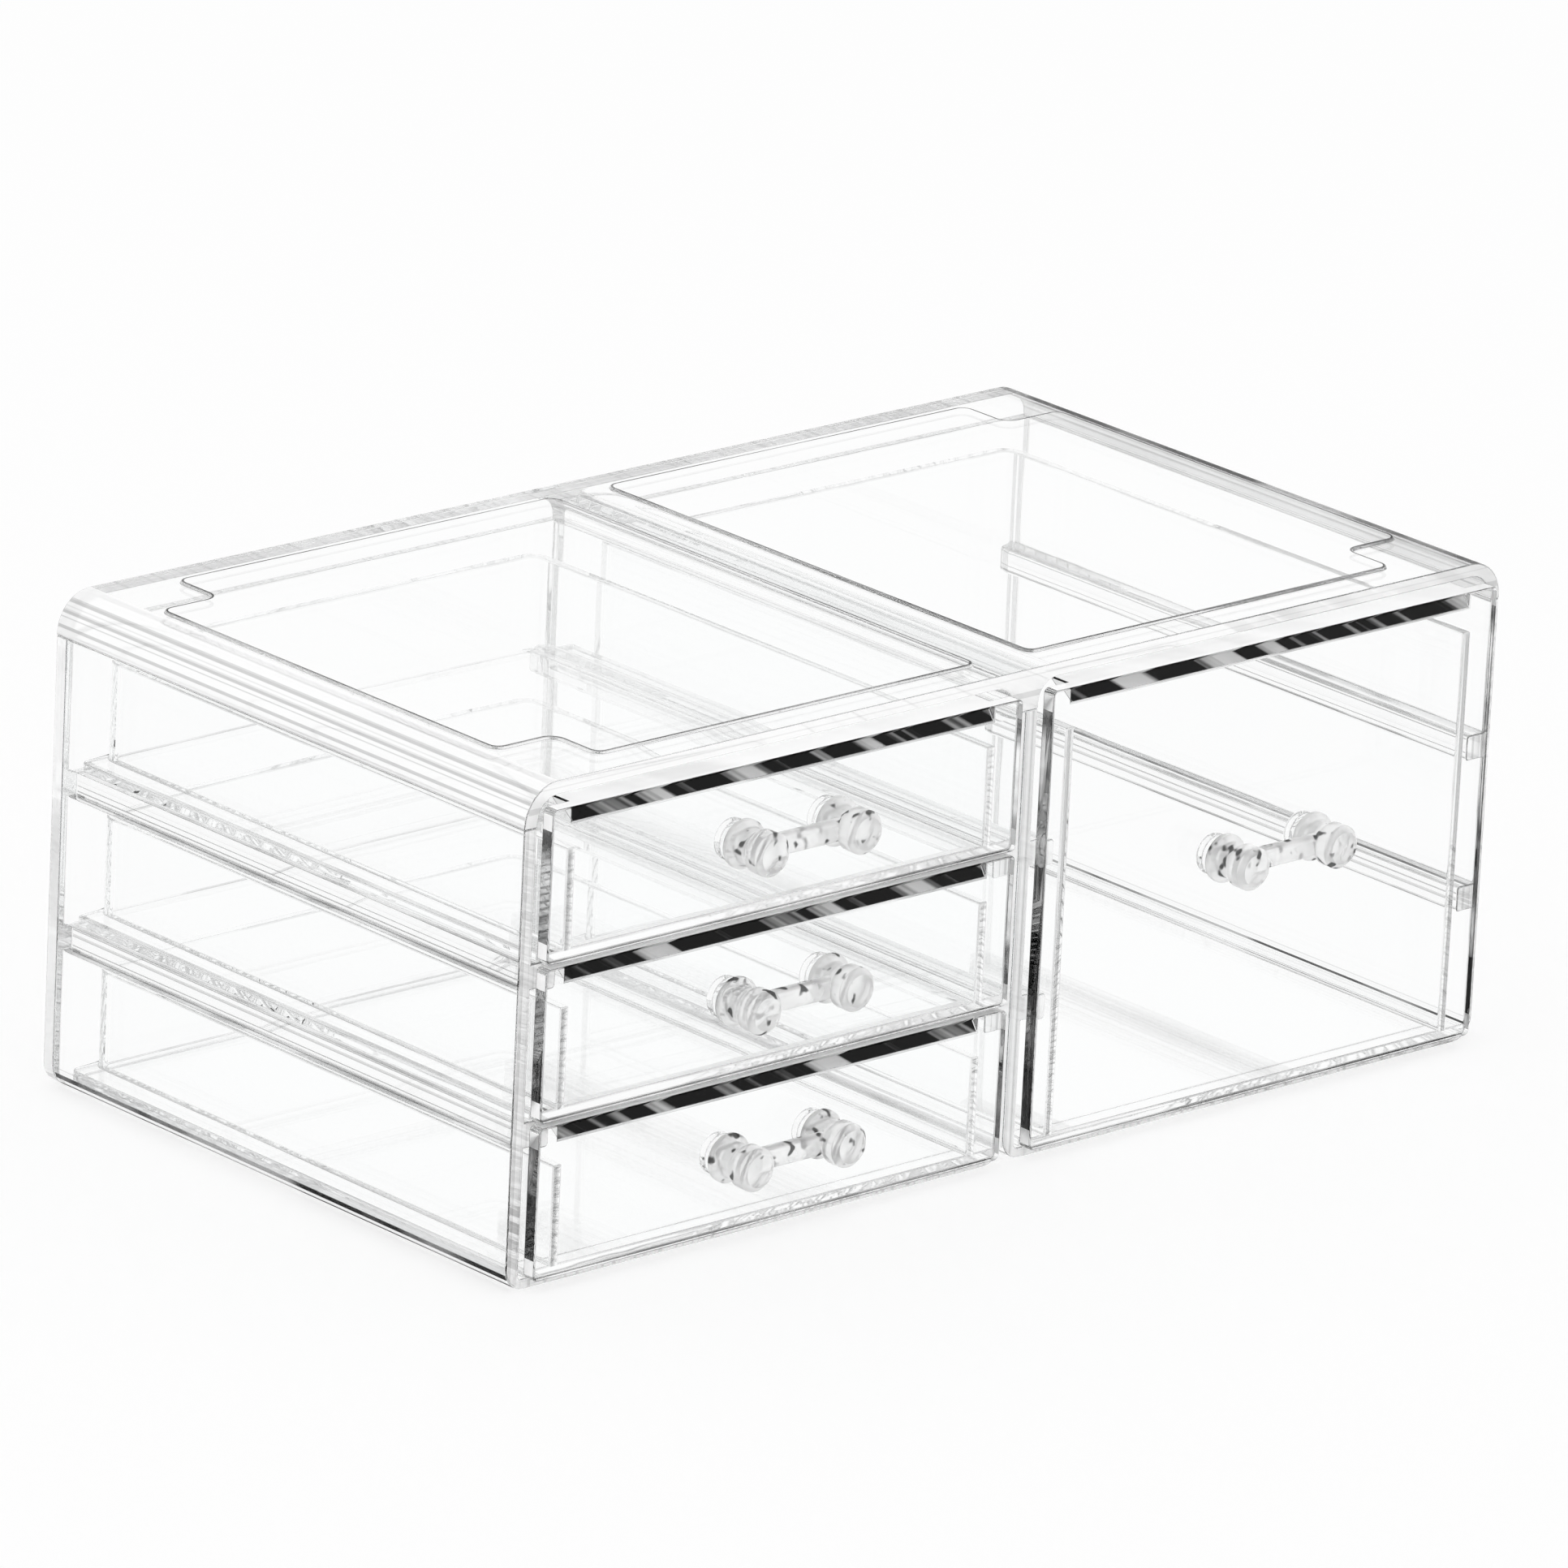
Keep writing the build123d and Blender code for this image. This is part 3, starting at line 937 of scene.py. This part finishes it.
def handle_tree():
    """Node tree of a handle: two knobs and the bar between them, joined into one moulding."""
    tree = bpy.data.node_groups.new("Handle", "GeometryNodeTree")
    nodes = Nodes(tree)
    inputs = {
        "Geometry": "NodeSocketGeometry", "Knob": "NodeSocketObject", "Middle": "NodeSocketVector",
        "Spacing": "NodeSocketFloat", "Bar Height": "NodeSocketFloat", "Bar Depth": "NodeSocketFloat",
        "Bar Round": "NodeSocketFloat", "Bar Place": "NodeSocketFloat", "Finish": "NodeSocketMaterial",
    }
    for name, kind in inputs.items():
        tree.interface.new_socket(name, in_out="INPUT", socket_type=kind)
    tree.interface.new_socket("Geometry", in_out="OUTPUT", socket_type="NodeSocketGeometry")
    given = nodes.add("NodeGroupInput").outputs

    def along(axis, distance):
        return nodes.socket("ShaderNodeCombineXYZ", 0, None, {axis: distance})

    def moved(place, operation, step):
        return nodes.socket("ShaderNodeVectorMath", 0, {"operation": operation}, {0: place, 1: step})

    step = along("X", Value(tree, given["Spacing"]) * 0.5)
    first = moved(given["Middle"], "SUBTRACT", step)
    line = {"Count": 2, "Start Location": first, "Offset": along("X", given["Spacing"])}
    places = nodes.socket("GeometryNodeMeshLine", 0, {"mode": "OFFSET"}, line)
    pattern = {"Object": given["Knob"]}
    knob = nodes.socket("GeometryNodeObjectInfo", "Geometry", {"transform_space": "ORIGINAL"}, pattern)
    knobs = nodes.socket("GeometryNodeInstanceOnPoints", 0, None, {"Points": places, "Instance": knob})
    knobs = nodes.socket("GeometryNodeRealizeInstances", 0, None, {0: knobs})
    bar_middle = moved(given["Middle"], "ADD", along("Y", Value(tree, given["Bar Place"]) * -1.0))
    ends = {"Start": moved(bar_middle, "SUBTRACT", step), "End": moved(bar_middle, "ADD", step)}
    path = nodes.socket("GeometryNodeCurvePrimitiveLine", 0, None, ends)
    sides = {"Width": given["Bar Depth"], "Height": given["Bar Height"]}
    section = nodes.socket("GeometryNodeCurvePrimitiveQuadrilateral", 0, None, sides)
    corners = {"Curve": section, "Count": 5, "Radius": given["Bar Round"]}
    section = nodes.socket("GeometryNodeFilletCurve", 0, {"mode": "POLY"}, corners)
    sweep = {"Curve": path, "Profile Curve": section, "Fill Caps": True}
    bar = nodes.socket("GeometryNodeCurveToMesh", 0, None, sweep)
    union = nodes.add("GeometryNodeMeshBoolean", {"operation": "UNION", "solver": "EXACT"})
    for geometry in (knobs, bar):
        tree.links.new(geometry, union.inputs["Mesh 2"])
    whole = nodes.socket("GeometryNodeRealizeInstances", 0, None, {0: union.outputs[0]})
    finish = {"Geometry": whole, "Material": given["Finish"]}
    whole = nodes.socket("GeometryNodeSetMaterial", 0, None, finish)
    nodes.add("NodeGroupOutput", None, {0: whole})
    return tree


def fill_inputs(modifier, **values):
    """Sets a modifier's inputs by the sockets' identifiers."""
    for item in modifier.node_group.interface.items_tree:
        name = item.name.lower().replace(" ", "_")
        if item.in_out == "INPUT" and name in values:
            modifier[item.identifier] = values[name]


def handles():
    """The handle of every drawer."""
    sizes = settings().drawer
    skin = Skin()
    skin.turned(knob_profile(), Vector(), sizes.turn_steps)
    knob = skin.object("knob_pattern")
    tree = handle_tree()
    for drawer in DRAWERS:
        first, last = knob_middles(drawer)
        name = f"{drawer}_handle_clear"
        piece = bpy.data.objects.new(name, bpy.data.meshes.new(name))
        bpy.context.scene.collection.objects.link(piece)
        modifier = piece.modifiers.new("Handle", "NODES")
        modifier.node_group = tree
        fill_inputs(
            modifier,
            knob=knob,
            middle=(first + last) / 2,
            spacing=sizes.knob_spacing,
            bar_height=sizes.bar_height,
            bar_depth=sizes.bar_depth,
            bar_round=sizes.bar_radius,
            bar_place=sizes.bar_place,
            # This look paints light over the knobs and dark reflections as spots
            finish=look("Clear handle plastic"),
        )
        plain_mesh(piece)
        turned_finish(piece)
        settle(piece, f"{drawer}_handle")
    bpy.data.objects.remove(knob)


def caps(drawer):
    """The two caps pushed on a handle's pegs inside the drawer."""
    case, sizes = settings().case, settings().drawer
    rim, bore = sizes.cap_diameter / 2, sizes.peg_diameter / 2 + sizes.peg_play
    start = -sizes.front_thickness + case.bond
    end = -sizes.front_thickness - sizes.cap_thickness
    bore_end = end + sizes.cap_skin
    outline = soft_corners([
        (0.0, end, 0), (rim, end, sizes.cap_round), (rim, start, sizes.seat_round),
        (bore, start, sizes.seat_round), (bore, bore_end, sizes.seat_round), (0.0, bore_end, 0),
    ], steps=4)
    skin = Skin("Clear cap plastic")
    for middle in knob_middles(drawer):
        skin.turned([tuple(p) for p in outline], middle, sizes.turn_steps)
    piece = skin.object(f"{drawer}_caps_clear")
    turned_finish(piece)
    settle(piece, f"{drawer}_caps")


# Stage

def camera():
    """A camera that looks at the middle of the case."""
    stage = settings().stage
    low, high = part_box("top_cover")
    target = Vector((0.0, (low.y + high.y) / 2, high.z / 2))
    a, e, r = stage.azimuth, stage.elevation, stage.roll
    back = Vector((math.sin(a) * math.cos(e), -math.cos(a) * math.cos(e), math.sin(e)))
    right = Vector((math.cos(a), math.sin(a), 0.0))
    up = back.cross(right)
    across = right * math.cos(r) + up * math.sin(r)
    upright = up * math.cos(r) - right * math.sin(r)
    data = bpy.data.cameras.new("camera")
    data.lens = stage.lens
    data.sensor_width = 36.0
    data.clip_end = 50.0
    view = bpy.data.objects.new("camera", data)
    bpy.context.scene.collection.objects.link(view)
    turn = Matrix((across, upright, back)).transposed()
    place = target + back * stage.distance + across * stage.slide_right + upright * stage.slide_up
    view.matrix_world = Matrix.Translation(place) @ turn.to_4x4()
    bpy.context.scene.camera = view


def floor():
    """A round pale floor that keeps part of the object's shadow and looks white through the clear plastic."""
    stage = settings().stage
    reach, steps = stage.floor_size, stage.floor_steps
    sheet = bmesh.new()
    turns = [math.tau * step / steps for step in range(steps)]
    rim = [(reach * math.cos(turn), reach * math.sin(turn), 0.0) for turn in turns]
    sheet.faces.new([sheet.verts.new(point) for point in rim])
    data = bpy.data.meshes.new("floor")
    sheet.to_mesh(data)
    sheet.free()
    ground = bpy.data.objects.new("floor", data)
    ground.location.z = -stage.floor_gap
    bpy.context.scene.collection.objects.link(ground)
    material = bpy.data.materials.new("floor_white")
    nodes = cleared_nodes(material)
    white = (stage.floor_white, stage.floor_white, stage.floor_white, 1.0)
    paper = nodes.socket("ShaderNodeBsdfDiffuse", 0, None, {"Color": white})
    glow = nodes.socket("ShaderNodeEmission", 0, None, {"Color": white, "Strength": 1.0})
    path = nodes.add("ShaderNodeLightPath").outputs
    through = Value(nodes.tree, path["Is Transmission Ray"])
    mirrored = Value(nodes.tree, path["Is Glossy Ray"])
    direct = Value(nodes.tree, path["Is Camera Ray"])
    seen = (through + mirrored + direct * stage.floor_glow).least(1.0)
    both = nodes.socket("ShaderNodeMixShader", 0, None, {0: seen, 1: paper, 2: glow})
    nodes.add("ShaderNodeOutputMaterial", None, {"Surface": both})
    data.materials.append(material)


def light():
    """White all round. Clear edges that bend a view upwards find a grey overhead, as in a light tent."""
    stage = settings().stage
    world = bpy.data.worlds.new("studio")
    bpy.context.scene.world = world
    nodes = cleared_nodes(world)
    way = nodes.socket("ShaderNodeTexCoord", "Generated")
    height = nodes.value("ShaderNodeSeparateXYZ", "Z", None, {0: way})
    path = nodes.add("ShaderNodeLightPath").outputs
    bent = Value(nodes.tree, path["Is Transmission Ray"])
    scattered = Value(nodes.tree, path["Diffuse Depth"]).least(1.0)
    dome = nodes.value(
        "ShaderNodeMapRange",
        "Result",
        {"interpolation_type": "SMOOTHSTEP"},
        {
            "Value": height,
            "From Min": stage.dome_start,
            "From Max": stage.dome_full,
            "To Min": 0.0,
            "To Max": stage.dome_dark,
        },
    )
    strength = 1.0 - bent * (1.0 - scattered) * dome
    sky = nodes.socket("ShaderNodeBackground", 0, None, {"Color": (1.0, 1.0, 1.0, 1.0), "Strength": strength})
    nodes.add("ShaderNodeOutputWorld", None, {"Surface": sky})
    lamp = bpy.data.lights.new("soft_lamp", "AREA")
    lamp.shape = "DISK"
    lamp.size = stage.lamp_size
    lamp.energy = stage.lamp_watts
    holder = bpy.data.objects.new("soft_lamp", lamp)
    holder.location = stage.lamp_place
    holder.rotation_euler = (-Vector(stage.lamp_place)).to_track_quat("-Z", "Y").to_euler()
    bpy.context.scene.collection.objects.link(holder)


def picture_settings():
    """Plain colours, and bounces enough to see through all the clear walls."""
    scene = bpy.context.scene
    scene.view_settings.view_transform = "Standard"
    scene.cycles.max_bounces = 128
    scene.cycles.transmission_bounces = 64
    scene.cycles.glossy_bounces = 96
    scene.cycles.diffuse_bounces = 8
    scene.cycles.blur_glossy = 0.0


# Operators

class ORGANIZER_OT_shells(bpy.types.Operator):
    """Make both bays' troughs"""

    bl_idname = "organizer.shells"
    bl_label = "Shells"

    def execute(self, context):
        for node in SHELLS:
            shell(node)
        return {"FINISHED"}


class ORGANIZER_OT_back(bpy.types.Operator):
    """Make the plate behind both bays"""

    bl_idname = "organizer.back"
    bl_label = "Back panel"

    def execute(self, context):
        back_panel()
        return {"FINISHED"}


class ORGANIZER_OT_cover(bpy.types.Operator):
    """Make the cover with its stacking fields"""

    bl_idname = "organizer.cover"
    bl_label = "Top cover"

    def execute(self, context):
        top_cover()
        return {"FINISHED"}


class ORGANIZER_OT_trays(bpy.types.Operator):
    """Make the trays of all drawers"""

    bl_idname = "organizer.trays"
    bl_label = "Trays"

    def execute(self, context):
        for drawer in DRAWERS:
            tray(drawer)
        return {"FINISHED"}


class ORGANIZER_OT_fronts(bpy.types.Operator):
    """Make the fronts of all drawers"""

    bl_idname = "organizer.fronts"
    bl_label = "Drawer fronts"

    def execute(self, context):
        for drawer in DRAWERS:
            drawer_front(drawer)
        return {"FINISHED"}


class ORGANIZER_OT_handles(bpy.types.Operator):
    """Make the handles and the caps that hold them"""

    bl_idname = "organizer.handles"
    bl_label = "Handles"

    def execute(self, context):
        handles()
        for drawer in DRAWERS:
            caps(drawer)
        return {"FINISHED"}


class ORGANIZER_OT_stage(bpy.types.Operator):
    """Make the floor, the light and the camera"""

    bl_idname = "organizer.stage"
    bl_label = "Stage"

    def execute(self, context):
        floor()
        light()
        camera()
        picture_settings()
        return {"FINISHED"}


class ORGANIZER_PT_panel(bpy.types.Panel):
    """Lists the organizer's pieces and sizes"""

    bl_idname = "ORGANIZER_PT_panel"
    bl_label = "Clear Drawer Organizer"
    bl_space_type = "VIEW_3D"
    bl_region_type = "UI"
    bl_category = "Organizer"

    def draw(self, context):
        for step in STEPS:
            self.layout.operator(step.bl_idname)
        for group in ("case", "drawer", "finish", "stage"):
            values = getattr(context.scene.organizer, group)
            box = self.layout.box()
            for name in values.__annotations__:
                box.prop(values, name)


GROUPS = (OrganizerCase, OrganizerDrawer, OrganizerFinish, OrganizerStage, OrganizerSettings)
STEPS = (
    ORGANIZER_OT_shells,
    ORGANIZER_OT_back,
    ORGANIZER_OT_cover,
    ORGANIZER_OT_trays,
    ORGANIZER_OT_fronts,
    ORGANIZER_OT_handles,
    ORGANIZER_OT_stage,
)
CLASSES = (*GROUPS, *STEPS, ORGANIZER_PT_panel)


def register():
    for item in CLASSES:
        bpy.utils.register_class(item)
    bpy.types.Scene.organizer = PointerProperty(type=OrganizerSettings)


def unregister():
    del bpy.types.Scene.organizer
    for item in reversed(CLASSES):
        bpy.utils.unregister_class(item)


def main():
    register()
    bpy.ops.organizer.shells()
    bpy.ops.organizer.back()
    bpy.ops.organizer.cover()
    bpy.ops.organizer.trays()
    bpy.ops.organizer.fronts()
    bpy.ops.organizer.handles()
    bpy.ops.organizer.stage()


if __name__ == "__main__":
    main()
